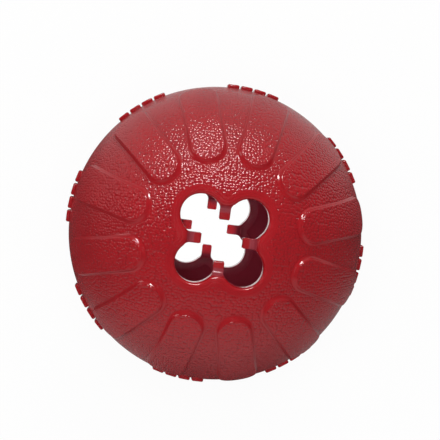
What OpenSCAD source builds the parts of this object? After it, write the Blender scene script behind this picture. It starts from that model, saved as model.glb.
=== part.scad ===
// Hollow rubber treat ball for a dog. The axis through its two mouths is Z and the
// ball's centre is the origin. Each mouth is a four-lobed hole with four flexible
// teeth that hold the treats in. The lower half mirrors the upper one. Millimetres.

/* [Ball] */
// Radius of the ball's body, under the raised pads
ball_radius = 43.5; // [42:0.5:50]
// Thickness of the hollow ball's wall
wall = 4.5; // [4:0.1:5.5]
// How far the flat at each end lies inside the body's radius
end_flat = 2; // [1.6:0.1:2.4]
// How deep the upper half's tongue reaches into the lower half
lap_depth = 3; // [2:0.2:5]
// Room between the tongue and its rebate
lap_gap = 0.05; // [0.02:0.01:0.1]

/* [Mouth] */
// Radius of each round lobe of the mouth
lobe_radius = 5.6; // [5.3:0.05:5.75]
// Distance from the axis to a lobe's centre
lobe_reach = 9.4; // [9.2:0.05:9.8]
// Distance from the axis to a neck between two lobes
neck_reach = 9.5; // [9.3:0.05:9.8]
// Width of the smooth lip round the mouth
lip_width = 2.6; // [2.3:0.1:2.8]
// Depth of the lip, from the end flat inwards
lip_depth = 6.3; // [6.1:0.1:7]
// How far the lip's outer edge is bevelled back
lip_bevel = 0.9; // [0.5:0.1:1.2]
// Depth of that bevel along the axis
lip_bevel_depth = 1.8; // [1:0.1:2.2]

/* [Teeth] */
// Width of a tooth
tooth_width = 3; // [2.2:0.1:3.2]
// Thickness of a tooth, and of the round knuckle at its root
tooth_thickness = 2.2; // [1.8:0.1:2.4]
// Thickness of the thin web that bends behind the tooth's plate
web_thickness = 1.4; // [1:0.1:1.6]
// Distance from the axis to a tooth's tip
tooth_reach = 5.7; // [4.6:0.1:6.4]
// How far a tooth's outer face lies below the end flat
tooth_recess = 3.2; // [3:0.1:3.4]
// How far the knuckle's centre lies behind the neck's face
knuckle_inset = 1; // [0.9:0.05:1.1]
// Length of the web, from the knuckle's centre
web_length = 1.9; // [1.8:0.05:2.1]
// Length of the slope from the web to the full thickness
web_slope = 0.7; // [0.6:0.05:1]
// Bevel on the edges of a tooth's tip
tip_bevel = 0.45; // [0.1:0.05:0.6]
// Running clearance round the knuckle
knuckle_gap = 0.06; // [0.03:0.01:0.1]
// Clearance beside a tooth and round its web
tooth_gap = 0.15; // [0.1:0.01:0.2]
// Angle that a tooth bends outwards as a treat is pulled out
bend_out = 35; // [20:1:35]
// Angle that a tooth bends inwards as a treat is pushed in
bend_in = 45; // [20:1:45]

/* [Grip pads] */
// Number of pads on each half
pad_count = 12; // [8:1:12]
// Angle from the axis to a pad's inner end
pad_start_angle = 30.3; // [29:0.1:36]
// Angle from the axis to a pad's outer end
pad_end_angle = 75; // [70:1:79]
// Width of a pad at its inner end
pad_inner_width = 9.3; // [7:0.1:10]
// Width of a pad at its outer end
pad_outer_width = 11; // [9.5:0.1:12.5]
// Radius of the corners at a pad's outer end
pad_corner = 4.5; // [1:0.1:4.6]
// How far the pads stand above the body
pad_height = 1; // [0.6:0.1:1.4]

/* [Grip bars] */
// Number of groups of bars round the seam
group_count = 8; // [6:1:8]
// Number of bars in a group
bars_in_group = 4; // [2:1:4]
// Width of a bar, along the seam
bar_width = 3.4; // [2:0.1:3.6]
// Space between two bars
bar_space = 0.6; // [0.5:0.1:1.4]
// Length of a bar, across the seam
bar_length = 7; // [5:0.5:9]
// Radius of a bar's corners
bar_corner = 0.8; // [0.4:0.1:0.95]
// How far the bars stand above the body
bar_height = 1; // [0.6:0.1:1.4]

/* [Hidden] */
$fn = 96;
TOOTH_COUNT = 4;
FIRST_PAD_TURN = 180 / pad_count;
FIRST_GROUP_TURN = 37;
UPPER_TEETH = [for (i = [1:TOOTH_COUNT]) str("upper_tooth_", i)];
LOWER_TEETH = [for (i = [1:TOOTH_COUNT]) str("lower_tooth_", i)];
UPPER_PADS = [for (i = [1:pad_count]) str("upper_pad_", i)];
LOWER_PADS = [for (i = [1:pad_count]) str("lower_pad_", i)];
BAR_GROUPS = [for (i = [1:group_count]) str("grip_bars_", i)];

// Every cut runs this far past the face that it opens
overrun = wall / 3;

inner_radius = ball_radius - wall;
lap_radius = ball_radius - wall / 2;
flat_z = ball_radius - end_flat;
lip_floor = flat_z - lip_depth;

// A lobe's centre in X and in Y, the round of a neck and the neck's centre: the
// neck's circle touches both lobes and the line at neck_reach
lobe_xy = lobe_reach * cos(45);
neck_fall = neck_reach - lobe_xy;
neck_round = (neck_fall ^ 2 + lobe_xy ^ 2 - lobe_radius ^ 2) / (2 * (lobe_radius - neck_fall));
neck_centre = neck_reach + neck_round;

knuckle_x = neck_reach + knuckle_inset;
knuckle_z = flat_z - tooth_recess - tooth_thickness / 2;
tooth_length = knuckle_x - tooth_reach;

// A pad is cut along the line at its middle angle, so its ends lie this far along it
pad_middle = (pad_start_angle + pad_end_angle) / 2;
pad_half = ball_radius * sin((pad_end_angle - pad_start_angle) / 2);

RED = [0.62, 0.11, 0.13];
DEEP_RED = [0.48, 0.07, 0.1];
LIP_RED = [0.7, 0.1, 0.12];

// Colour of a repeated piece, a little lighter on every second one
function alternate(i, low, high) = i % 2 == 0 ? low : high;

// The middle of the mouth: its corners are the lobes' and the necks' centres, so its
// sides pass through the points where the lobes' and the necks' circles touch
module mouth_middle() {
    polygon([for (k = [0:3], end = [0, 1])
        end == 0
            ? neck_centre * [cos(90 * k), sin(90 * k)]
            : lobe_reach * [cos(90 * k + 45), sin(90 * k + 45)]]);
}

// Outline of the mouth: four round lobes with a rounded neck between each two
module mouth_outline() {
    difference() {
        union() {
            mouth_middle();
            for (k = [0:3])
                rotate(90 * k + 45) translate([lobe_reach, 0]) circle(lobe_radius);
        }
        for (k = [0:3])
            rotate(90 * k) translate([neck_centre, 0]) circle(neck_round);
    }
}

// Outline of the lip's outer edge, where it meets the shell
module lip_outline() {
    circle(neck_reach + lip_width);
    for (k = [0:3])
        rotate(90 * k + 45) translate([lobe_reach, 0]) circle(lobe_radius + lip_width);
}

// The mouth's bevel, which widens the outline from nothing at its floor
module mouth_bevel() {
    tall = lip_bevel_depth + overrun;
    wide = lip_bevel * tall / lip_bevel_depth;
    translate([0, 0, flat_z - lip_bevel_depth])
        difference() {
            union() {
                linear_extrude(tall) mouth_middle();
                for (k = [0:3])
                    rotate(90 * k + 45) translate([lobe_reach, 0, 0])
                        cylinder(h = tall, r1 = lobe_radius, r2 = lobe_radius + wide);
            }
            for (k = [0:3])
                rotate(90 * k) translate([neck_centre, 0, 0])
                    cylinder(h = tall, r1 = neck_round, r2 = neck_round - wide);
        }
}

// Half of a slice through the hollow ball, from the seam to the end flat. It leaves
// out the stretch next to the axis, which the mouth opens anyway.
module wall_section() {
    difference() {
        intersection() {
            circle(ball_radius);
            translate([neck_reach, 0]) square([ball_radius, flat_z]);
        }
        circle(inner_radius);
    }
}

// Cuts the mouth's hole, with room for the lip, through the upper end
module mouth_hole() {
    translate([0, 0, lip_floor - wall])
        linear_extrude(lip_depth + wall + overrun) lip_outline();
}

// The upper half with the tongue that reaches into the lower half
module upper_half_shell() {
    color(RED)
        difference() {
            rotate_extrude() {
                wall_section();
                difference() {
                    translate([0, -lap_depth]) square([lap_radius - lap_gap, lap_depth + overrun]);
                    circle(inner_radius);
                }
            }
            mouth_hole();
        }
}

// The lower half with the rebate for the tongue
module lower_half_shell() {
    color(DEEP_RED)
        mirror([0, 0, 1])
            difference() {
                rotate_extrude()
                    difference() {
                        wall_section();
                        translate([0, -overrun]) square([lap_radius, overrun + lap_depth + lap_gap]);
                    }
                mouth_hole();
            }
}

// Side view of the room that a tooth's root needs in its neck, X outwards and Y up
module socket_outline() {
    reach = web_length + web_slope;
    half = web_thickness / 2 + tooth_gap;
    circle(tooth_thickness / 2 + knuckle_gap);
    polygon([
        [0, 0],
        half * [sin(bend_out), cos(bend_out)],
        half * [sin(bend_out), cos(bend_out)] + reach * [-cos(bend_out), sin(bend_out)],
        [-reach - knuckle_inset, 0],
        half * [sin(bend_in), -cos(bend_in)] + reach * [-cos(bend_in), -sin(bend_in)],
        half * [sin(bend_in), -cos(bend_in)]
    ]);
}

// Side view of a tooth, with its knuckle's centre at the origin and its tip towards -X
module tooth_outline() {
    half = tooth_thickness / 2;
    thin = web_thickness / 2;
    circle(half);
    polygon([
        [0, thin],
        [-web_length, thin],
        [-web_length - web_slope, half],
        [tip_bevel - tooth_length, half],
        [-tooth_length, half - tip_bevel],
        [-tooth_length, tip_bevel - half],
        [tip_bevel - tooth_length, -half],
        [-web_length - web_slope, -half],
        [-web_length, -thin],
        [0, -thin]
    ]);
}

// Draws a side view as a solid of a given width, at the knuckle of the first neck
module at_neck(width) {
    translate([knuckle_x, width / 2, knuckle_z])
        rotate([90, 0, 0]) linear_extrude(width) children();
}

// The smooth lip of the upper mouth, with a socket for each tooth
module mouth_lip() {
    difference() {
        intersection() {
            translate([0, 0, lip_floor]) linear_extrude(lip_depth) lip_outline();
            sphere(ball_radius);
        }
        translate([0, 0, lip_floor - overrun])
            linear_extrude(lip_depth + 2 * overrun) mouth_outline();
        mouth_bevel();
        for (k = [0:TOOTH_COUNT - 1])
            rotate(90 * k) at_neck(tooth_width + 2 * tooth_gap) socket_outline();
    }
}

// One tooth of the upper mouth, numbered from +X towards +Y
module mouth_tooth(i) {
    color(alternate(i, RED, LIP_RED))
        rotate(90 * (i - 1)) at_neck(tooth_width) tooth_outline();
}

// Outline of a pad, seen along its middle line: X runs from the mouth to the seam
module pad_outline() {
    inner_half = pad_inner_width / 2;
    outer_half = pad_outer_width / 2;
    corner_x = pad_half - pad_corner;
    translate([inner_half - pad_half, 0]) circle(inner_half);
    polygon([
        [inner_half - pad_half, inner_half],
        [inner_half - pad_half, -inner_half],
        [corner_x, -outer_half],
        [corner_x, outer_half]
    ]);
    for (side = [-1, 1])
        translate([corner_x, side * (outer_half - pad_corner)]) circle(pad_corner);
    translate([corner_x, pad_corner - outer_half])
        square([pad_corner, pad_outer_width - 2 * pad_corner]);
}

// One raised grip pad of the upper half
module grip_pad(i) {
    color(alternate(i, RED, DEEP_RED))
        rotate(FIRST_PAD_TURN + 360 / pad_count * (i - 1))
            difference() {
                intersection() {
                    rotate([0, pad_middle, 0])
                        linear_extrude(ball_radius + pad_height + overrun) pad_outline();
                    sphere(ball_radius + pad_height);
                }
                sphere(ball_radius);
            }
}

// Outline of a bar with round corners, centred on the origin
module bar_outline() {
    inner_width = bar_width - 2 * bar_corner;
    inner_length = bar_length - 2 * bar_corner;
    square([bar_length, inner_width], center = true);
    square([inner_length, bar_width], center = true);
    for (x = [-1, 1], y = [-1, 1])
        translate([x * inner_length / 2, y * inner_width / 2]) circle(bar_corner);
}

// One group of short raised bars across the seam
module grip_bars(i) {
    pitch = (bar_width + bar_space) / ball_radius * 180 / PI;
    first = -pitch * (bars_in_group - 1) / 2;
    color(alternate(i, LIP_RED, RED))
        rotate(FIRST_GROUP_TURN + 360 / group_count * (i - 1))
            for (b = [0:bars_in_group - 1])
                rotate(first + pitch * b)
                    difference() {
                        intersection() {
                            rotate([0, 90, 0])
                                linear_extrude(ball_radius + bar_height + overrun) bar_outline();
                            sphere(ball_radius + bar_height);
                        }
                        sphere(ball_radius);
                    }
}

module upper_mouth_lip() {
    color(LIP_RED) mouth_lip();
}

module lower_mouth_lip() {
    color(LIP_RED) mirror([0, 0, 1]) mouth_lip();
}

upper_half_shell();
lower_half_shell();
upper_mouth_lip();
lower_mouth_lip();
for (i = [1:TOOTH_COUNT])
    mouth_tooth(i);
for (i = [1:TOOTH_COUNT])
    mirror([0, 0, 1]) mouth_tooth(i);
for (i = [1:pad_count])
    grip_pad(i);
for (i = [1:pad_count])
    mirror([0, 0, 1]) grip_pad(i);
for (i = [1:group_count])
    grip_bars(i);
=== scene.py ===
"""The finished look of a treat dispensing ball: a hollow ball of grained red rubber with
raised grip pads and, at each end, a four-lobed mouth with bending teeth."""

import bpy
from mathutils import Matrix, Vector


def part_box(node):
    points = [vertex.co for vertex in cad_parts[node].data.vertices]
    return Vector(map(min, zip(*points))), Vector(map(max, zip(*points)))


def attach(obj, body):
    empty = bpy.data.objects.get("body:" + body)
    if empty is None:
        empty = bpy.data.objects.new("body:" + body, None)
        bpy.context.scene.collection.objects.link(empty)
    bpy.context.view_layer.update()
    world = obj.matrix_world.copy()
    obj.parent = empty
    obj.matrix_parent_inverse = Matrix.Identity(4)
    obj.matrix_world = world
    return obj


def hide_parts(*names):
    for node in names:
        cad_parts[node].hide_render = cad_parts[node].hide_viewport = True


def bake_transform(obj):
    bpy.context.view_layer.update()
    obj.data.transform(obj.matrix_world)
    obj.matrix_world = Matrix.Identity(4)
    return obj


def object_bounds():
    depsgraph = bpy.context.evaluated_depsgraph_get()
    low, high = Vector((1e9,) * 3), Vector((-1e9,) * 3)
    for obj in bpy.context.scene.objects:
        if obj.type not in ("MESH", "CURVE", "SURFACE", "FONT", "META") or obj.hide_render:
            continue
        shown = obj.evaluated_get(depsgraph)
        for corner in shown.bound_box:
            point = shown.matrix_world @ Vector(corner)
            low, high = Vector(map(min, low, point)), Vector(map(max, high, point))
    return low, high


bl_info = {
    "name": "Treat Dispensing Ball",
    "version": (1, 0, 0),
    "blender": (4, 5, 0),
    "location": "View3D > Sidebar > Treat Ball",
    "description": "Builds a grained rubber treat ball with bending teeth, and its studio",
    "category": "Mesh",
}

import math

import bmesh
import bpy
from bpy.props import FloatProperty, FloatVectorProperty, IntProperty, PointerProperty
from mathutils import Matrix, Vector

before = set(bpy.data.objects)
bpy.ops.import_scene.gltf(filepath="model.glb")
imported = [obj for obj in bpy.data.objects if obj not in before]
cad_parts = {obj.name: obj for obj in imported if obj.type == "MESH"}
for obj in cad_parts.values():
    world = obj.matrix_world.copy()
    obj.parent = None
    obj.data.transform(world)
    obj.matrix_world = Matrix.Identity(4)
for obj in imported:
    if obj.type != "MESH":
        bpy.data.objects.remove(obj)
CAD_LOW, CAD_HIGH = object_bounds()

MM = 0.001
BODY = "ball"
# A quarter turn, a half turn and a full turn
QUARTER, HALF, TURN = math.pi / 2, math.pi, 2 * math.pi
# The ball's ends, with the turn that brings an upper piece there, its faces still outwards
ENDS = {"upper": Matrix.Identity(4), "lower": Matrix.Rotation(HALF, 4, "X")}

# Sizes read from the frame
SHELL_LOW, SHELL_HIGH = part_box("upper_half_shell")
LIP_LOW, LIP_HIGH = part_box("upper_mouth_lip")
TOOTH_LOW, TOOTH_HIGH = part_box("upper_tooth_1")
BAR_LOW, BAR_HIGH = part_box("grip_bars_1")
BALL_RADIUS = SHELL_HIGH.x
FLAT_Z = LIP_HIGH.z
LIP_FLOOR = LIP_LOW.z
LAP_DEPTH = -SHELL_LOW.z
TOOTH_TIP = TOOTH_LOW.x
TOOTH_TOP = TOOTH_HIGH.z
TOOTH_UNDER = TOOTH_LOW.z
TOOTH_WIDTH = TOOTH_HIGH.y - TOOTH_LOW.y
TOOTH_THICKNESS = TOOTH_TOP - TOOTH_UNDER
KNUCKLE_X = TOOTH_HIGH.x - TOOTH_THICKNESS / 2
PROUD = CAD_HIGH.x - BALL_RADIUS
PAD_COUNT = sum(name.startswith("upper_pad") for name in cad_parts)
TOOTH_COUNT = sum(name.startswith("upper_tooth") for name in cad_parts)
GROUP_COUNT = sum(name.startswith("grip_bars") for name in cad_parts)

# How deep a pad's and a bar's closed underside lies in the shell
SUNK = 0.35 * MM
# How far a tooth's root reaches behind its knuckle's centre
ROOT_BEHIND = 0.3 * MM
# Faces that meet at less than this angle are shaded as one
SMOOTH_ANGLE = math.radians(40)
# Points that are nearer to each other than this become one
SAME_POINT = 0.002 * MM
# Counts of straight steps round a neck and a lobe of the mouth
NECK_STEPS, LOBE_STEPS = 16, 48


def length(name, text, default):
    """A length property in metres."""
    return FloatProperty(name=name, description=text, default=default, min=0, unit="LENGTH",
                         precision=5)


def turn(name, text, degrees):
    """An angle property, given in degrees."""
    return FloatProperty(name=name, description=text, default=math.radians(degrees),
                         subtype="ANGLE")


def paint(name, text, red, green, blue):
    """A colour property, linear."""
    return FloatVectorProperty(name=name, description=text, default=(red, green, blue),
                               size=3, min=0, max=1, subtype="COLOR")


def share(name, text, default):
    """A plain number from 0 to 1."""
    return FloatProperty(name=name, description=text, default=default, min=0, max=1)


class BallSizes(bpy.types.PropertyGroup):
    """Sizes of the ball's forms that the frame's boxes don't give."""

    wall: length("Wall", "Thickness of the hollow ball's wall", 4.5 * MM)
    lap_gap: length("Lap gap", "Room between the seam's tongue and its rebate", 0.05 * MM)
    lobe_radius: length("Lobe radius", "Radius of each lobe of the mouth", 5.6 * MM)
    lobe_reach: length("Lobe reach", "From the axis to a lobe's centre", 9.4 * MM)
    neck_reach: length("Neck reach", "From the axis to a neck's face", 9.5 * MM)
    lip_width: length("Lip width", "Width of the smooth lip", 2.6 * MM)
    bead_width: length("Bead width", "Width of the lip's rolled edge", 1 * MM)
    bead_depth: length("Bead depth", "Depth of the lip's rolled edge", 0.9 * MM)
    lip_fall: length("Lip fall", "How far the lip leans down to its rolled edge", 0.4 * MM)
    crease_inset: length("Crease inset", "From the mouth's edge to the lip's crease", 1.6 * MM)
    crease_width: length("Crease width", "Width of the crease round the lip", 0.7 * MM)
    crease_depth: length("Crease depth", "Depth of the crease round the lip", 0.05 * MM)
    flat_blend: length("Flat blend", "Softness of the end flat's border", 1.2 * MM)
    pad_inner: length("Pad inner width", "Width of a pad towards the mouth", 9.3 * MM)
    pad_outer: length("Pad outer width", "Width of a pad towards the seam", 11 * MM)
    pad_corner: length("Pad corner", "Radius of a pad's outer corners", 4.5 * MM)
    pad_start: turn("Pad start", "From the axis to a pad's inner end", 30.3)
    pad_end: turn("Pad end", "From the axis to a pad's outer end", 75)
    pad_crest: length("Pad crest", "Radius of a pad's rounded crest", 0.55 * MM)
    outer_crest: length("Outer crest", "Radius of that crest at a pad's outer end", 1.1 * MM)
    pad_foot: length("Pad foot", "Radius of the hollow at a pad's foot", 0.7 * MM)
    inner_foot: length("Inner foot", "Radius of that hollow at a pad's inner end", 1.5 * MM)
    root_round: length("Root round", "Round between a tooth's side and its neck", 1.7 * MM)
    root_rise: length("Root rise", "Hollow between a tooth's face and its neck", 1.6 * MM)
    tooth_edge: length("Tooth edge", "Radius of a tooth's side edges", 0.22 * MM)
    tip_round: length("Tip round", "Radius of the edges of a tooth's tip", 0.6 * MM)
    bar_width: length("Bar width", "Width of a bar along the seam", 3.4 * MM)
    bar_space: length("Bar space", "Space between two bars", 0.6 * MM)
    bar_edge: length("Bar edge", "Radius of a bar's edges", 0.45 * MM)
    first_group: turn("First group", "Turn of the first group of bars", 37)
    bars_in_group: IntProperty(name="Bars in a group", description="Bars in each group",
                               default=4, min=1)


class RubberFinish(bpy.types.PropertyGroup):
    """Colour and surface of the rubber."""

    red: paint("Red", "Main colour of the rubber", 0.37, 0.006, 0.011)
    deep_red: paint("Deep red", "Colour of the rubber's darker clouds", 0.34, 0.005, 0.01)
    cloud: length("Cloud", "Distance between the darker clouds", 7 * MM)
    pebble: length("Pebble", "Distance between two pebbles of the grain", 0.9 * MM)
    pebble_height: length("Pebble height", "Height of the grain", 0.16 * MM)
    # Painted shade: the grain's grooves are darkened in the colour, where shade falls between the
    # pebbles
    groove_shade: share("Groove", "How much darker the grooves of the grain are", 0.1)
    speck: length("Speck", "Distance between the rubber's fine specks", 0.6 * MM)
    speck_height: length("Speck height", "Height of the fine specks", 0.01 * MM)
    gloss: share("Roughness", "Roughness of the grained rubber", 0.11)
    smooth_gloss: share("Smooth roughness", "Roughness of the lips and the teeth", 0.12)
    bloom: share("Bloom", "Strength of the soft bloom that shows at a grazing angle", 0.22)
    bloom_spread: share("Bloom spread", "How far the bloom spreads from the rims", 0.35)
    bloom_red: paint("Bloom red", "Colour of that bloom", 1, 0.12, 0.14)
    glow: share("Glow", "Share of light that sinks into the rubber", 0.1)
    # Painted light: the inward faces get a brighter, purpler colour that stands in for light
    # inside the ball
    inner_painted_light: paint("Inner red", "Colour of the rubber's dull inner faces", 0.52, 0.05, 0.09)
    # Partly painted light: real light passes through a tooth's inner face, and this brighter
    # colour adds painted light
    thin_painted_light_red: paint("Thin red", "Colour of a tooth's inner face, which lets light through",
                    0.85, 0.12, 0.18)
    thin_glow: share("Thin glow", "Share of light that sinks into that inner face", 0.9)
    depth: length("Depth", "How deep light sinks into the rubber", 1.5 * MM)
    thin_depth: length("Thin depth", "How deep it sinks into a tooth's inner face", 9 * MM)
    # Painted reflection and shade: a tooth's root hollow is coloured darker and greyer, standing
    # in for the haze it mirrors
    root_painted_haze: paint("Root red", "Colour of a tooth's dull root", 0.3, 0.036, 0.05)


class StudioSettings(bpy.types.PropertyGroup):
    """The floor, the lamps and the camera."""

    floor_size: length("Floor size", "Side of the floor", 4)
    distance: length("Distance", "From the camera to the ball's centre", 480 * MM)
    lean_x: turn("Lean X", "Camera's lean about the photograph's X", 2.62)
    lean_y: turn("Lean Y", "Camera's lean about the photograph's Y", 2.96)
    roll: turn("Roll", "Turn of the ball in the picture", -6.98)
    aside: FloatProperty(name="Aside", description="Ball's centre left or right of the "
                         "camera's axis", default=-1.49 * MM, unit="LENGTH", precision=5)
    below: FloatProperty(name="Below", description="Ball's centre above or below the "
                         "camera's axis", default=-3.89 * MM, unit="LENGTH", precision=5)
    lens: FloatProperty(name="Lens", description="Focal length in millimetres",
                        default=131.6, min=1)


def clear_selection():
    """Leaves nothing selected, because an operator acts on all that is."""
    if bpy.context.object and bpy.context.object.mode != "OBJECT":
        bpy.ops.object.mode_set(mode="OBJECT")
    bpy.ops.object.select_all(action="DESELECT")


def loft(name, rings):
    """Extrudes a circle from ring to ring of points, and closes what meets.

    Every ring holds as many points, in the same order. A ring whose points meet in
    pairs closes an end, and a last ring equal to the first closes a hoop."""
    clear_selection()
    bpy.ops.mesh.primitive_circle_add(vertices=len(rings[0]))
    piece = bpy.context.object
    piece.name = name
    piece.data.name = name
    bpy.ops.object.mode_set(mode="EDIT")
    mesh = bmesh.from_edit_mesh(piece.data)
    spot = mesh.verts.layers.int.new("spot")
    mesh.verts.ensure_lookup_table()
    for number, point in enumerate(rings[0]):
        mesh.verts[number][spot] = number
        mesh.verts[number].co = point
    bpy.ops.mesh.select_all(action="SELECT")
    for ring in rings[1:]:
        bpy.ops.mesh.extrude_region_move()
        mesh = bmesh.from_edit_mesh(piece.data)
        spot = mesh.verts.layers.int["spot"]
        for corner in mesh.verts:
            if corner.select:
                corner.co = ring[corner[spot]]
    mesh.verts.layers.int.remove(mesh.verts.layers.int["spot"])
    bmesh.update_edit_mesh(piece.data)
    bpy.ops.mesh.select_all(action="SELECT")
    bpy.ops.mesh.remove_doubles(threshold=SAME_POINT)
    bpy.ops.mesh.select_all(action="SELECT")
    bpy.ops.mesh.normals_make_consistent(inside=False)
    bpy.ops.object.mode_set(mode="OBJECT")
    bpy.ops.object.shade_smooth_by_angle(angle=SMOOTH_ANGLE)
    return piece


def settle(piece):
    """Puts a piece's place and scale into its mesh, with its object at the origin."""
    bpy.context.view_layer.update()
    piece.data.transform(piece.matrix_world)
    piece.matrix_world = Matrix.Identity(4)


def copy_of(piece, name, place):
    """A copy of a piece with a mesh of its own, moved by a matrix."""
    twin = piece.copy()
    twin.data = piece.data.copy()
    twin.name = name
    twin.data.name = name
    twin.data.transform(place)
    bpy.context.collection.objects.link(twin)
    return twin


def finish_piece(piece, node, body, material):
    """Dresses a piece, hides the CAD node that it stands for, and hangs it on its body if it has
    one.
    """
    piece.data.materials.clear()
    piece.data.materials.append(material)
    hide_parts(node)
    if body:
        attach(piece, body)


def smooth_step(low, high, value):
    """Rises smoothly from 0 at low to 1 at high."""
    place = min(max((value - low) / (high - low), 0), 1)
    return place * place * (3 - 2 * place)


def mix(low, high, place):
    """The value at a share of the way from low to high."""
    return low + (high - low) * place


def ball_top(sizes, radius):
    """Height of the ball's outer surface at a distance from the axis, with the end
    flat's border softened."""
    sphere = math.sqrt(max(BALL_RADIUS ** 2 - radius ** 2, 0))
    near = max(sizes.flat_blend - abs(sphere - FLAT_Z), 0) / sizes.flat_blend
    return min(sphere, FLAT_Z) - near ** 2 * sizes.flat_blend / 4


def neck_circle(sizes):
    """A lobe's centre, in X and in Y alike, and the radius and the centre's X of the circle
    that rounds the first neck, which touches the lobes at its two sides."""
    lobe = sizes.lobe_reach * math.cos(QUARTER / 2)
    fall = sizes.neck_reach - lobe
    rounding = (fall ** 2 + lobe ** 2 - sizes.lobe_radius ** 2) / (2 * (sizes.lobe_radius - fall))
    return lobe, rounding, sizes.neck_reach + rounding


def mouth_outline(sizes):
    """The mouth's edge as a list of points, each with its direction into the rubber."""
    lobe, rounding, neck = neck_circle(sizes)
    spread = math.atan2(lobe, neck - lobe)
    outline = []
    for quarter in range(4):
        spin = Matrix.Rotation(quarter * QUARTER, 2)
        for step in range(NECK_STEPS):
            angle = HALF + mix(spread, -spread, step / NECK_STEPS)
            out = Vector((math.cos(angle), math.sin(angle)))
            outline.append((spin @ (Vector((neck, 0)) + rounding * out), spin @ -out))
        for step in range(LOBE_STEPS):
            angle = mix(-spread, QUARTER + spread, step / LOBE_STEPS)
            out = Vector((math.cos(angle), math.sin(angle)))
            outline.append((spin @ (Vector((lobe, lobe)) + sizes.lobe_radius * out), spin @ out))
    return outline


def lip_height(sizes, inside, radius):
    """Height of the lip's surface at a distance inside its edge: it leans down from the
    shell, ever more steeply, to a fine crease and its rolled edge."""
    left = max(1 - inside / sizes.bead_width, 0)
    rolled = sizes.bead_depth * (1 - math.sqrt(1 - left ** 2))
    leaning = sizes.lip_fall * (1 - inside / sizes.lip_width) ** 2
    near = max(1 - 2 * abs(inside - sizes.crease_inset) / sizes.crease_width, 0)
    creased = sizes.crease_depth * smooth_step(0, 1, near)
    return ball_top(sizes, radius) - rolled - leaning - creased


def lip_ring(sizes, outline, inside):
    """A ring of points on the lip, a distance inside the mouth's edge."""
    ring = []
    for point, into in outline:
        place = point + into * inside
        ring.append(Vector((*place, lip_height(sizes, inside, place.length))))
    return ring


def model_lip(sizes, name):
    """The smooth lip: its bore wall, rolled edge, leaning face and outer wall, as a hoop."""
    outline = mouth_outline(sizes)
    floor_inner = [Vector((*point, LIP_FLOOR)) for point, _ in outline]
    floor_outer = [Vector((*(point + into * sizes.lip_width), LIP_FLOOR))
                   for point, into in outline]
    edge_round, straight_from = 0.5 * MM, 1.6 * MM
    edge_steps, bead_steps, face_steps = 4, 12, 14
    rings = [[Vector((*(point + into * edge_round), LIP_FLOOR)) for point, into in outline]]
    for step in range(1, edge_steps + 1):
        angle = QUARTER * step / edge_steps
        inset = edge_round * (1 - math.sin(angle))
        rise = edge_round * (1 - math.cos(angle))
        rings.append([Vector((*(point + into * inset), LIP_FLOOR + rise))
                      for point, into in outline])
    rings.append([corner + Vector((0, 0, straight_from)) for corner in floor_inner])
    for step in range(bead_steps + 1):
        rings.append(lip_ring(sizes, outline,
                              sizes.bead_width * (1 - math.cos(QUARTER * step / bead_steps))))
    for step in range(1, face_steps + 1):
        rings.append(lip_ring(sizes, outline,
                              mix(sizes.bead_width, sizes.lip_width, step / face_steps)))
    rings.append(floor_outer)
    rings.append(rings[0])
    return loft(name, rings)


def model_shell(sizes, name, tongue):
    """A half shell: outer surface, the seam's lap, inner surface and the mouth's wall."""
    outline = mouth_outline(sizes)
    inner = BALL_RADIUS - sizes.wall
    lap = BALL_RADIUS - sizes.wall / 2
    edges = [point + into * sizes.lip_width for point, into in outline]
    arounds = [math.atan2(edge.y, edge.x) for edge in edges]
    outer_rings, inner_rings = 60, 24
    # The lower half's inner surface ends here, short of its rebate's own ring
    rebate_share = 0.92

    def ring_on(radius, share_out, flattened):
        ring = []
        for edge, around in zip(edges, arounds):
            start = math.asin(edge.length / radius)
            lean = mix(start, QUARTER, share_out)
            reach = radius * math.sin(lean)
            height = ball_top(sizes, reach) if flattened else radius * math.cos(lean)
            if share_out == 1:
                height = 0
            ring.append(Vector((reach * math.cos(around), reach * math.sin(around), height)))
        return ring

    def hoop(radius, height):
        return [Vector((radius * math.cos(around), radius * math.sin(around), height))
                for around in arounds]

    rings = [ring_on(BALL_RADIUS, step / outer_rings, True) for step in range(outer_rings + 1)]
    if tongue:
        low = -LAP_DEPTH
        rings.append(hoop(lap - sizes.lap_gap, 0))
        rings.append(hoop(lap - sizes.lap_gap, low))
        rings.append(hoop(math.sqrt(inner ** 2 - low ** 2), low))
    else:
        high = LAP_DEPTH + sizes.lap_gap
        rings.append(hoop(lap, 0))
        rings.append(hoop(lap, high))
        rings.append(hoop(math.sqrt(inner ** 2 - high ** 2), high))
    for step in range(inner_rings + 1):
        place = 1 - step / inner_rings
        if tongue or place < rebate_share:
            rings.append(ring_on(inner, place, False))
    rings.append(rings[0])
    return loft(name, rings)


def on_ball(middle, along, across, height):
    """A point on the ball, seen along the line at an angle from the axis: a distance
    towards the seam, a distance aside, and a height over the surface."""
    deep = math.sqrt(max(BALL_RADIUS ** 2 - along ** 2 - across ** 2, 0))
    flat = Vector((along, across, deep)) * ((BALL_RADIUS + height) / BALL_RADIUS)
    return Matrix.Rotation(middle, 3, "Y") @ flat


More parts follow.
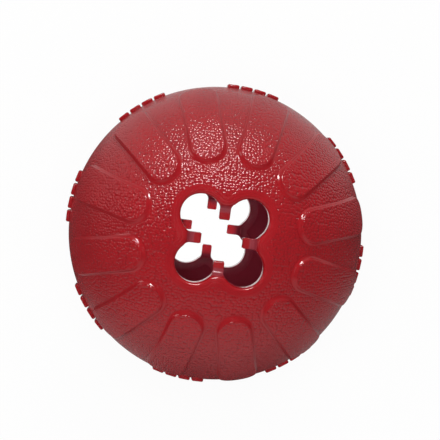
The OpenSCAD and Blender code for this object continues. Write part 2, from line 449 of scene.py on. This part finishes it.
def pad_outline(sizes, half):
    """A pad's outline with, for each point, the nearest point of its middle line."""
    inner, outer = sizes.pad_inner / 2, sizes.pad_outer / 2
    corner = sizes.pad_corner
    inner_middle = inner - half
    outer_middle = half - outer
    round_steps, side_steps, end_steps = 12, 20, 2
    side = []
    for step in range(round_steps + 1):
        angle = HALF - QUARTER * step / round_steps
        side.append(Vector((inner_middle + inner * math.cos(angle), inner * math.sin(angle))))
    for step in range(1, side_steps):
        place = step / side_steps
        side.append(Vector((mix(inner_middle, half - corner, place), mix(inner, outer, place))))
    for step in range(round_steps + 1):
        angle = QUARTER - QUARTER * step / round_steps
        side.append(Vector((half - corner + corner * math.cos(angle),
                            outer - corner + corner * math.sin(angle))))
    for step in range(1, end_steps + 1):
        side.append(Vector((half, mix(outer - corner, 0, step / end_steps))))
    other = [Vector((point.x, -point.y)) for point in side[-2:0:-1]]
    outline = side + other
    return [(point, Vector((min(max(point.x, inner_middle), outer_middle), 0)))
            for point in outline]


def model_pad(sizes, name):
    """A raised grip pad with softly sloping sides, closed underneath, as it lies at the
    upper end's first place. Its foot is broadest at the inner end, its crest at the outer."""
    middle = (sizes.pad_start + sizes.pad_end) / 2
    half = BALL_RADIUS * math.sin((sizes.pad_end - sizes.pad_start) / 2)
    outline = pad_outline(sizes, half)
    slope_steps = 20

    def ring(up_slope, keep=1.0, lift=0.0):
        corners = []
        for point, spine in outline:
            foot = mix(sizes.inner_foot, sizes.pad_foot, smooth_step(-half, 0, point.x))
            crest = mix(sizes.pad_crest, sizes.outer_crest,
                        smooth_step(half - sizes.pad_corner, half, point.x))
            steepest = math.acos(1 - PROUD / (crest + foot))
            lean = steepest * (1 - abs(1 - 2 * up_slope))
            if up_slope < 0.5:
                out = foot * (math.sin(steepest) - math.sin(lean))
                height = foot * (1 - math.cos(lean))
            else:
                out = -crest * (math.sin(steepest) - math.sin(lean))
                height = PROUD - crest * (1 - math.cos(lean))
            gap = point - spine
            place = spine + gap * ((gap.length + out) / gap.length * keep)
            corners.append(on_ball(middle, place.x, place.y, height + lift))
        return corners

    rings = [ring(0, keep, -SUNK) for keep in (0, 0.5, 1)]
    for step in range(slope_steps + 1):
        rings.append(ring(step / slope_steps))
    for keep in (0.8, 0.6, 0.4, 0.2, 0):
        rings.append(ring(1, keep))
    pad = loft(name, rings)
    pad.data.transform(Matrix.Rotation(HALF / PAD_COUNT, 4, "Z"))
    return pad


def model_tooth(sizes, name):
    """A tooth at the first neck: a flat plate whose root flares into the neck and hollows
    up its face, with rounded edges."""
    _, rounding, neck = neck_circle(sizes)
    half = TOOTH_WIDTH / 2
    flare = sizes.root_round
    flare_x = neck - math.sqrt((rounding + flare) ** 2 - (half + flare) ** 2)
    meet = flare_x + (neck - flare_x) * flare / (rounding + flare)
    hollow_x = sizes.neck_reach - sizes.root_rise
    root_x = KNUCKLE_X + ROOT_BEHIND
    steps, tip_steps, corner_steps = 26, 6, 4
    # Keeps the hollow's end from standing upright, and an inset edge from closing up
    hollow_share, edge_share = 0.98, 0.9
    across_shares = (0.25, 0.5, 0.75)

    def half_width(x):
        reach = min(max(x - flare_x, 0), meet - flare_x)
        return half + flare - math.sqrt(flare ** 2 - reach ** 2)

    def top(x):
        reach = min(max(x - hollow_x, 0), sizes.root_rise * hollow_share)
        return TOOTH_TOP + sizes.root_rise - math.sqrt(sizes.root_rise ** 2 - reach ** 2)

    def under(x):
        reach = min(max(x - flare_x, 0), meet - flare_x)
        return TOOTH_UNDER - (TOOTH_UNDER - LIP_FLOOR) * smooth_step(0, meet - flare_x, reach)

    def ring(x, inset=0.0):
        """The tooth's outline at an x, its faces moved in by an inset and its sides less."""
        aside = min(inset, sizes.tooth_edge * edge_share)
        wide = half_width(x) - aside
        high, low = top(x) - inset, under(x) + inset
        edge = sizes.tooth_edge - aside
        corners = []
        for side, level, first in ((1, 1, 0), (-1, 1, 1), (-1, -1, 2), (1, -1, 3)):
            y = side * (wide - edge)
            z = (high - edge) if level > 0 else (low + edge)
            for step in range(corner_steps + 1):
                angle = QUARTER * (first + step / corner_steps)
                corners.append(Vector((x, y + edge * math.cos(angle), z + edge * math.sin(angle))))
            if first in (0, 2):
                corners += [Vector((x, mix(y, -y, part), high if first == 0 else low))
                            for part in across_shares]
        return corners

    centre_z = (TOOTH_TOP + TOOTH_UNDER) / 2
    points = len(ring(root_x))
    rings = [[Vector((root_x, 0, centre_z))] * points]
    for step in range(steps + 1):
        rings.append(ring(mix(root_x, TOOTH_TIP + sizes.tip_round, step / steps)))
    for step in range(1, tip_steps + 1):
        angle = QUARTER * step / tip_steps
        x = TOOTH_TIP + sizes.tip_round * (1 - math.sin(angle))
        rings.append(ring(x, sizes.tip_round * (1 - math.cos(angle))))
    rings.append([Vector((TOOTH_TIP, 0, centre_z))] * points)
    return loft(name, rings)


def model_bars(sizes, name):
    """A group of plain raised bars with rounded edges, across the seam at +X."""
    tall = BAR_HIGH.z - BAR_LOW.z
    pitch = (sizes.bar_width + sizes.bar_space) / BALL_RADIUS
    first = -pitch * (sizes.bars_in_group - 1) / 2
    cuts, edge_segments = 8, 5
    bars = []
    for number in range(sizes.bars_in_group):
        clear_selection()
        bpy.ops.mesh.primitive_cube_add(size=1)
        bar = bpy.context.object
        bar.name = name
        bar.scale = (tall, sizes.bar_width, PROUD + SUNK)
        settle(bar)
        bpy.ops.object.mode_set(mode="EDIT")
        bpy.ops.mesh.select_all(action="SELECT")
        bpy.ops.mesh.bevel(offset=sizes.bar_edge, segments=edge_segments, affect="EDGES")
        for cut in range(1, cuts):
            bpy.ops.mesh.select_all(action="SELECT")
            bpy.ops.mesh.bisect(plane_co=((cut / cuts - 0.5) * tall, 0, 0), plane_no=(1, 0, 0))
        bpy.ops.object.mode_set(mode="OBJECT")
        for corner in bar.data.vertices:
            along, across, up = corner.co
            corner.co = on_ball(QUARTER, along, across, up + (PROUD - SUNK) / 2)
        bar.data.transform(Matrix.Rotation(first + pitch * number, 4, "Z"))
        bars.append(bar)
    clear_selection()
    for bar in bars:
        bar.select_set(True)
    bpy.context.view_layer.objects.active = bars[0]
    bpy.ops.object.join()
    group = bpy.context.object
    group.data.name = name
    bpy.ops.object.shade_smooth_by_angle(angle=SMOOTH_ANGLE)
    return group


def set_inputs(node, values):
    """Sets a shader node's inputs, given by name."""
    for name, value in values.items():
        node.inputs[name].default_value = value
    return node


def map_range(tree, value, low, high, to_low=0.0, to_high=1.0):
    """A smooth ramp from one range of a value to another."""
    ramp = tree.nodes.new("ShaderNodeMapRange")
    ramp.interpolation_type = "SMOOTHSTEP"
    set_inputs(ramp, {"From Min": low, "From Max": high, "To Min": to_low, "To Max": to_high})
    tree.links.new(value, ramp.inputs["Value"])
    return ramp.outputs["Result"]


def combine(tree, operation, first, second):
    """A math node on two sockets, or on a socket and a number."""
    node = tree.nodes.new("ShaderNodeMath")
    node.operation = operation
    for socket, value in zip(node.inputs, (first, second)):
        if isinstance(value, bpy.types.NodeSocket):
            tree.links.new(value, socket)
        else:
            socket.default_value = value
    return node.outputs["Value"]


def noise(tree, place, spacing, detail):
    """A noise whose main spots lie a distance apart."""
    node = set_inputs(tree.nodes.new("ShaderNodeTexNoise"),
                      {"Scale": 1 / spacing, "Detail": detail, "Roughness": 0.55})
    tree.links.new(place, node.inputs["Vector"])
    return node.outputs["Fac"]


def bump(tree, height, distance, under=None):
    """A bump of a real height, over another one if there is one."""
    node = set_inputs(tree.nodes.new("ShaderNodeBump"), {"Strength": 1, "Distance": distance})
    tree.links.new(height, node.inputs["Height"])
    if under:
        tree.links.new(under, node.inputs["Normal"])
    return node.outputs["Normal"]


def split(tree, place):
    """The X, Y and Z of a place, as sockets by name."""
    axes = tree.nodes.new("ShaderNodeSeparateXYZ")
    tree.links.new(place, axes.inputs["Vector"])
    return axes.outputs


def magnitude(tree, value):
    """A value without its sign."""
    return combine(tree, "ABSOLUTE", value, 0)


def from_axis(tree, axes):
    """Distance of a place from the ball's axis."""
    squares = [combine(tree, "POWER", axes[axis], 2) for axis in "XY"]
    return combine(tree, "POWER", combine(tree, "ADD", *squares), 0.5)


def unrolled(tree, place):
    """The ball's outside laid flat from its nearer end, with true lengths from the end
    towards the seam, so that the grain has no seams of its own."""
    axes = split(tree, place)
    aside = from_axis(tree, axes)
    angle = combine(tree, "ARCTAN2", aside, magnitude(tree, axes["Z"]))
    stretch = combine(tree, "DIVIDE", combine(tree, "MULTIPLY", angle, BALL_RADIUS), aside)
    flat = tree.nodes.new("ShaderNodeCombineXYZ")
    for axis in "XY":
        tree.links.new(combine(tree, "MULTIPLY", axes[axis], stretch), flat.inputs[axis])
    return flat.outputs["Vector"]


def pebble_height(tree, place, pebble):
    """Rounded pebbles of uneven shape, from 0 in the grooves to 1 on the tops."""
    steepness = 1.4
    cells = tree.nodes.new("ShaderNodeTexVoronoi")
    cells.voronoi_dimensions = "2D"
    cells.feature = "SMOOTH_F1"
    set_inputs(cells, {"Scale": 1 / pebble, "Smoothness": 0.15, "Randomness": 0.7})
    tree.links.new(unrolled(tree, place), cells.inputs["Vector"])
    slope = combine(tree, "MULTIPLY", cells.outputs["Distance"], steepness)
    return combine(tree, "SUBTRACT", 1, combine(tree, "POWER", slope, 2))


def grain_mask(tree, place):
    """1 on the ball's outside and on the tops of its raised forms, 0 on their sloping
    sides and inside the ball, which are smooth."""
    # Depths under the surface, and distances from half a raised form's height
    fade_depths = (0.6 * MM, 0.2 * MM)
    slope_ends = (0.44 * PROUD, 0.495 * PROUD)
    reach = vector_value(tree, "LENGTH", place)
    outside = map_range(tree, reach, *[BALL_RADIUS - depth for depth in fade_depths])
    above = combine(tree, "SUBTRACT", reach, BALL_RADIUS + PROUD / 2)
    level = map_range(tree, magnitude(tree, above), *slope_ends)
    return combine(tree, "MULTIPLY", outside, level)


def blend_colours(tree, amount, under, over):
    """A mix of two colours, each one a socket or a value."""
    node = tree.nodes.new("ShaderNodeMix")
    node.data_type = "RGBA"
    tree.links.new(amount, node.inputs["Factor"])
    # The colour sockets of a mix node share their names with its other kinds
    for socket, colour in zip((node.inputs[6], node.inputs[7]), (under, over)):
        if isinstance(colour, bpy.types.NodeSocket):
            tree.links.new(colour, socket)
        else:
            socket.default_value = (*colour, 1)
    return node.outputs[2]


def vector_value(tree, operation, first, second=None):
    """A plain number worked out from one or two vectors."""
    node = tree.nodes.new("ShaderNodeVectorMath")
    node.operation = operation
    tree.links.new(first, node.inputs[0])
    if second:
        tree.links.new(second, node.inputs[1])
    return node.outputs["Value"]


# Distances from the axis between which the painted reflection on a tooth's root fades in from the
# tip's side and from the lip's, and between which its inner face turns thin
ROOT_FROM_TIP, ROOT_FROM_LIP = (7.4 * MM, 8 * MM), (10 * MM, 9.4 * MM)
THINNING = (10 * MM, 7 * MM)
# Distance of a face's plane from the ball's centre, along its normal, where the face starts
# to count as inward, and so to take painted light, and where it does in full
INWARD_PLANES = (-15 * MM, -25 * MM)


def with_painted_inner_tones(tree, finish, place, normal, tone):
    """The rubber's colour with painted reflection on the teeth's roots and painted light on
    its inward faces, and a mask of the teeth's inner faces."""
    aside = from_axis(tree, split(tree, place))
    root = combine(tree, "MULTIPLY", map_range(tree, aside, *ROOT_FROM_TIP),
                   map_range(tree, aside, *ROOT_FROM_LIP))
    # Painted reflection: the root hollow's darker, greyer colour
    tone = blend_colours(tree, root, tone, finish.root_painted_haze)
    thin = map_range(tree, aside, *THINNING)
    # Painted light: inward faces brighter, the teeth's inner faces brighter still beside the real
    # light through them
    inner = blend_colours(tree, thin, finish.inner_painted_light, finish.thin_painted_light_red)
    plane = vector_value(tree, "DOT_PRODUCT", place, normal)
    inward = map_range(tree, plane, *INWARD_PLANES)
    return blend_colours(tree, inward, tone, inner), combine(tree, "MULTIPLY", thin, inward)


# Where the noise of the clouds and of the specks, and the pebbles' height for the painted shade
# in the grooves, begin and end to count, and how far the specks make the roughness less and more
CLOUD_EDGES, SPECK_EDGES, GROOVE_SHADE_EDGES = (0.35, 0.65), (0.2, 0.8), (0.15, 0.75)
GLOSS_SPREAD = (-0.04, 0.06)


def rubber_material(finish, name, grained):
    """Semi-gloss rubber, clouded red, with a pebbled grain where it is moulded so, painted shade
    in the grain's grooves, and painted light and reflection inside and at the teeth's roots.
    """
    material = bpy.data.materials.new(name)
    material.use_nodes = True
    tree = material.node_tree
    shader = tree.nodes["Principled BSDF"]
    coordinates = tree.nodes.new("ShaderNodeTexCoord").outputs
    place = coordinates["Object"]
    set_inputs(shader, {"IOR": 1.5, "Subsurface Radius": (1, 0.15, 0.1),
                        "Sheen Weight": finish.bloom, "Sheen Roughness": finish.bloom_spread,
                        "Sheen Tint": (*finish.bloom_red, 1)})

    clouds = noise(tree, place, finish.cloud, detail=3)
    tone = blend_colours(tree, map_range(tree, clouds, *CLOUD_EDGES),
                         finish.deep_red, finish.red)
    specks = noise(tree, place, finish.speck, detail=4)
    gloss = finish.gloss if grained else finish.smooth_gloss
    rough = map_range(tree, specks, *SPECK_EDGES, *[gloss + part for part in GLOSS_SPREAD])
    tree.links.new(rough, shader.inputs["Roughness"])
    normal = bump(tree, specks, finish.speck_height)
    if grained:
        mask = grain_mask(tree, place)
        pebbles = pebble_height(tree, place, finish.pebble)
        normal = bump(tree, combine(tree, "MULTIPLY", pebbles, mask), finish.pebble_height, normal)
        # Painted shade: the grooves between the pebbles are darkened in the colour
        groove_shade = map_range(tree, pebbles, *GROOVE_SHADE_EDGES, finish.groove_shade, 0)
        tone = blend_colours(tree, combine(tree, "MULTIPLY", groove_shade, mask), tone, (0, 0, 0))
    tone, thin = with_painted_inner_tones(tree, finish, place, coordinates["Normal"], tone)
    tree.links.new(map_range(tree, thin, 0, 1, finish.glow, finish.thin_glow),
                   shader.inputs["Subsurface Weight"])
    tree.links.new(map_range(tree, thin, 0, 1, finish.depth, finish.thin_depth),
                   shader.inputs["Subsurface Scale"])
    tree.links.new(tone, shader.inputs["Base Color"])
    tree.links.new(normal, shader.inputs["Normal"])
    return material


def rubber(name, grained):
    """A finish of the rubber, made the first time that it is asked for."""
    ready = bpy.data.materials.get(name)
    return ready or rubber_material(bpy.context.scene.rubber_finish, name, grained)


class BALL_OT_shells(bpy.types.Operator):
    """Model the two half shells"""
    bl_idname = "treat_ball.shells"
    bl_label = "Half Shells"

    def execute(self, context):
        sizes = context.scene.ball_sizes
        material = rubber("pebbled_red_rubber", grained=True)
        for end, flip in ENDS.items():
            piece = model_shell(sizes, f"{end}_shell_skin", tongue=end == "upper")
            piece.data.transform(flip)
            finish_piece(piece, f"{end}_half_shell", BODY, material)
        return {"FINISHED"}


class BALL_OT_lips(bpy.types.Operator):
    """Model the smooth lip round each mouth"""
    bl_idname = "treat_ball.lips"
    bl_label = "Mouth Lips"

    def execute(self, context):
        material = rubber("smooth_red_rubber", grained=False)
        first = model_lip(context.scene.ball_sizes, "lip_pattern")
        for end, flip in ENDS.items():
            piece = copy_of(first, f"{end}_lip_bead", flip)
            finish_piece(piece, f"{end}_mouth_lip", BODY, material)
        bpy.data.objects.remove(first)
        return {"FINISHED"}


class BALL_OT_teeth(bpy.types.Operator):
    """Model the bending teeth of both mouths"""
    bl_idname = "treat_ball.teeth"
    bl_label = "Teeth"

    def execute(self, context):
        sizes = context.scene.ball_sizes
        material = rubber("smooth_red_rubber", grained=False)
        first = model_tooth(sizes, "tooth_pattern")
        for end, flip in ENDS.items():
            for number in range(TOOTH_COUNT):
                place = Matrix.Rotation(TURN / TOOTH_COUNT * number, 4, "Z") @ flip
                node = f"{end}_tooth_{number + 1}"
                piece = copy_of(first, f"{node}_rubber", place)
                finish_piece(piece, node, None, material)
                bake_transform(piece)
        bpy.data.objects.remove(first)
        return {"FINISHED"}


class BALL_OT_pads(bpy.types.Operator):
    """Model the raised grip pads of both halves"""
    bl_idname = "treat_ball.pads"
    bl_label = "Grip Pads"

    def execute(self, context):
        material = rubber("pebbled_red_rubber", grained=True)
        first = model_pad(context.scene.ball_sizes, "pad_pattern")
        for end, flip in ENDS.items():
            # Turning a pad over puts it a place back, so the lower half starts a place on
            start = 1 if end == "lower" else 0
            for number in range(PAD_COUNT):
                place = Matrix.Rotation(TURN / PAD_COUNT * (number + start), 4, "Z") @ flip
                node = f"{end}_pad_{number + 1}"
                piece = copy_of(first, f"{node}_rubber", place)
                finish_piece(piece, node, BODY, material)
        bpy.data.objects.remove(first)
        return {"FINISHED"}


class BALL_OT_bars(bpy.types.Operator):
    """Model the groups of grip bars across the seam"""
    bl_idname = "treat_ball.bars"
    bl_label = "Grip Bars"

    def execute(self, context):
        sizes = context.scene.ball_sizes
        material = rubber("pebbled_red_rubber", grained=True)
        first = model_bars(sizes, "bar_pattern")
        for number in range(GROUP_COUNT):
            spin = sizes.first_group + TURN / GROUP_COUNT * number
            node = f"grip_bars_{number + 1}"
            piece = copy_of(first, f"{node}_rubber", Matrix.Rotation(spin, 4, "Z"))
            finish_piece(piece, node, BODY, material)
        bpy.data.objects.remove(first)
        return {"FINISHED"}


def mix_shaders(tree, amount, under, over):
    """A mix of two shaders."""
    node = tree.nodes.new("ShaderNodeMixShader")
    tree.links.new(amount, node.inputs["Fac"])
    # The two shader sockets of this node share one name
    for socket, shader in zip(node.inputs[1:], (under, over)):
        tree.links.new(shader, socket)
    return node.outputs["Shader"]


# Tone of the floor for the light that it throws back, and for the camera
FLOOR_TONES = (0.05, 0.95)
# Distances from the axis in metres between which the shadow fades, and the share of the
# floor's white that is its own light there
SHADOW_FADE, OWN_LIGHT = (0.1, 0.5), (0.93, 1)
# The ball mirrors the floor only past these distances, or past these places along Y
MIRRORED_PAST, MIRRORED_BEHIND = (0.08, 0.19), (-0.02, -0.05)
# It mirrors it dim round a middle direction and pale to both sides, as shares of Y
DIM_MIDDLE, SIDE_EDGES, SIDE_TONES = 0.15, (0.3, 0.75), (0.05, 0.53)
# Directions from the ball of two pale corners, which its low rims mirror, the closeness to
# them, as a cosine, between which they fade in, and their tone
PALE_CORNERS = (math.radians(56), math.radians(147))
CORNER_EDGES, CORNER_TONE = (0.906, 0.985), 0.24
# Distances from the axis between which the floor under the mouth turns white to all light
UNDER_MOUTH = (0.024, 0.018)


def mirrored_floor(tree, axes, reach):
    """How pale the ball mirrors each place of the floor."""
    aside = combine(tree, "DIVIDE", axes["Y"], reach)
    aside = magnitude(tree, combine(tree, "SUBTRACT", aside, DIM_MIDDLE))
    clear = combine(tree, "MAXIMUM", map_range(tree, reach, *MIRRORED_PAST),
                    map_range(tree, axes["Y"], *MIRRORED_BEHIND))
    pale = combine(tree, "MULTIPLY", clear, map_range(tree, aside, *SIDE_EDGES, *SIDE_TONES))
    for angle in PALE_CORNERS:
        parts = [combine(tree, "MULTIPLY", axes["X"], math.cos(angle)),
                 combine(tree, "MULTIPLY", axes["Y"], math.sin(angle))]
        closeness = combine(tree, "DIVIDE", combine(tree, "ADD", *parts), reach)
        corner = map_range(tree, closeness, *CORNER_EDGES, 0, CORNER_TONE)
        pale = combine(tree, "MAXIMUM", pale, corner)
    return pale


def floor_material():
    """A floor that looks white and keeps the ball's shadow, but throws little light back
    onto the ball."""
    material = bpy.data.materials.new("pale_floor")
    material.use_nodes = True
    tree = material.node_tree
    shader = set_inputs(tree.nodes["Principled BSDF"], {"Roughness": 0.9})
    rays = tree.nodes.new("ShaderNodeLightPath").outputs
    tone = map_range(tree, rays["Is Camera Ray"], 0, 1, *FLOOR_TONES)
    tree.links.new(tone, shader.inputs["Base Color"])
    place = tree.nodes.new("ShaderNodeTexCoord").outputs["Object"]
    reach = vector_value(tree, "LENGTH", place)
    seen = combine(tree, "MAXIMUM", rays["Is Camera Ray"], rays["Is Transmission Ray"])
    seen = combine(tree, "MULTIPLY", seen, map_range(tree, reach, *SHADOW_FADE, *OWN_LIGHT))
    mirrored = combine(tree, "MULTIPLY", rays["Is Glossy Ray"],
                       mirrored_floor(tree, split(tree, place), reach))
    mirrored = combine(tree, "MAXIMUM", mirrored, map_range(tree, reach, *UNDER_MOUTH))
    glow = tree.nodes.new("ShaderNodeEmission").outputs["Emission"]
    both = mix_shaders(tree, combine(tree, "MAXIMUM", seen, mirrored),
                       shader.outputs["BSDF"], glow)
    tree.links.new(both, tree.nodes["Material Output"].inputs["Surface"])
    return material


def studio_world(level, middle, ends):
    """A pale surround that the camera sees as white. It lights the ball evenly at a level,
    and is mirrored as dim at its middle and brighter towards both ends along Y."""
    # Places along Y and Z on a sphere of radius 1 round the ball, and shares
    middle_aside, side_edges = 0.06, (0.45, 0.95)
    top_edges, top_aside = (0.85, 1), 0.5
    light_edges, low_light = (-0.3, 0.7), 0.4
    world = bpy.data.worlds.new("studio")
    bpy.context.scene.world = world
    world.use_nodes = True
    tree = world.node_tree
    light = set_inputs(tree.nodes["Background"], {"Color": (1, 1, 1, 1)})
    axes = split(tree, tree.nodes.new("ShaderNodeTexCoord").outputs["Generated"])
    aside = magnitude(tree, combine(tree, "ADD", axes["Y"], middle_aside))
    above = map_range(tree, axes["Z"], *top_edges, 0, top_aside)
    mirrored = map_range(tree, combine(tree, "MAXIMUM", aside, above), *side_edges, middle, ends)
    even = map_range(tree, axes["Z"], *light_edges, low_light * level, level)
    rays = tree.nodes.new("ShaderNodeLightPath").outputs
    fills = tree.nodes.new("ShaderNodeMix")
    tree.links.new(rays["Is Diffuse Ray"], fills.inputs["Factor"])
    tree.links.new(mirrored, fills.inputs["A"])
    tree.links.new(even, fills.inputs["B"])
    tree.links.new(fills.outputs["Result"], light.inputs["Strength"])
    seen = set_inputs(tree.nodes.new("ShaderNodeBackground"), {"Color": (1, 1, 1, 1)})
    both = mix_shaders(tree, rays["Is Camera Ray"], light.outputs["Background"],
                       seen.outputs["Background"])
    tree.links.new(both, tree.nodes["World Output"].inputs["Surface"])


def add_lamp(name, place, size, level, fills=True, mirrored=True):
    """A soft lamp that faces the ball. Its level is the brightness that it alone gives a
    white surface turned to it at the ball's place. It can be left out of the diffuse light
    or of the reflections."""
    lamp = bpy.data.lights.new(name, "AREA")
    lamp.shape = "RECTANGLE"
    lamp.size, lamp.size_y = size
    lamp.energy = level * (math.pi * Vector(place).length) ** 2
    holder = bpy.data.objects.new(name, lamp)
    bpy.context.collection.objects.link(holder)
    holder.location = place
    holder.rotation_euler = (-Vector(place)).to_track_quat("-Z", "Y").to_euler()
    holder.visible_camera = False
    holder.visible_diffuse = fills
    holder.visible_glossy = mirrored


class BALL_OT_stage(bpy.types.Operator):
    """Set up the floor, the lamps and the camera"""
    bl_idname = "treat_ball.stage"
    bl_label = "Stage and Camera"

    def execute(self, context):
        studio = context.scene.studio_settings
        clear_selection()
        bpy.ops.mesh.primitive_plane_add(size=studio.floor_size, location=(0, 0, CAD_LOW.z))
        floor = bpy.context.object
        floor.name = "floor"
        floor.data.materials.append(floor_material())
        studio_world(level=0.55, middle=0.17, ends=0.6)
        add_lamp("key_lamp", place=(0, -0.8, 0.16), size=(0.34, 0.2), level=0.46, mirrored=False)
        add_lamp("glint_lamp", place=(0.14, -0.66, 0.49), size=(0.42, 0.17), level=0.95,
                 fills=False)
        add_lamp("sheen_lamp", place=(0.75, -0.25, 0.1), size=(0.3, 0.3), level=0.1, fills=False)
        add_lamp("fill_lamp", place=(0.04, -0.02, 0.5), size=(0.22, 0.22), level=0.38,
                 mirrored=False)
        add_lamp("side_lamp", place=(0.8, 0, 0.05), size=(0.3, 0.3), level=0.25, mirrored=False)

        lens = bpy.data.cameras.new("photo_camera")
        lens.lens = studio.lens
        lens.clip_start = 0.01
        camera = bpy.data.objects.new("photo_camera", lens)
        bpy.context.collection.objects.link(camera)
        turned = (Matrix.Rotation(studio.lean_x, 4, "X") @ Matrix.Rotation(studio.lean_y, 4, "Y")
                  @ Matrix.Rotation(studio.roll, 4, "Z"))
        offset = Matrix.Translation((studio.aside, studio.below, -studio.distance))
        camera.matrix_world = Matrix.Rotation(HALF, 4, "Z") @ (offset @ turned).inverted()
        context.scene.camera = camera
        context.scene.view_settings.view_transform = "Standard"
        return {"FINISHED"}


STEPS = (BALL_OT_stage, BALL_OT_shells, BALL_OT_lips, BALL_OT_teeth, BALL_OT_pads,
         BALL_OT_bars)


class BALL_PT_panel(bpy.types.Panel):
    """Lists the ball's sizes, its finish and the steps that build it"""
    bl_idname = "BALL_PT_panel"
    bl_label = "Treat Ball"
    bl_space_type = "VIEW_3D"
    bl_region_type = "UI"
    bl_category = "Treat Ball"

    def draw(self, context):
        for group in ("ball_sizes", "rubber_finish", "studio_settings"):
            settings = getattr(context.scene, group)
            box = self.layout.box()
            for name in settings.bl_rna.properties.keys():
                if name not in ("rna_type", "name"):
                    box.prop(settings, name)
        for step in STEPS:
            self.layout.operator(step.bl_idname)


GROUPS = {"ball_sizes": BallSizes, "rubber_finish": RubberFinish,
          "studio_settings": StudioSettings}


def register():
    """Registers the settings, the steps and the panel."""
    for name, group in GROUPS.items():
        bpy.utils.register_class(group)
        setattr(bpy.types.Scene, name, PointerProperty(type=group))
    for step in STEPS:
        bpy.utils.register_class(step)
    bpy.utils.register_class(BALL_PT_panel)


def unregister():
    """Takes back all that register did."""
    bpy.utils.unregister_class(BALL_PT_panel)
    for step in reversed(STEPS):
        bpy.utils.unregister_class(step)
    for name, group in GROUPS.items():
        delattr(bpy.types.Scene, name)
        bpy.utils.unregister_class(group)


def main():
    register()
    bpy.ops.treat_ball.stage()
    bpy.ops.treat_ball.shells()
    bpy.ops.treat_ball.lips()
    bpy.ops.treat_ball.teeth()
    bpy.ops.treat_ball.pads()
    bpy.ops.treat_ball.bars()


if __name__ == "__main__":
    main()
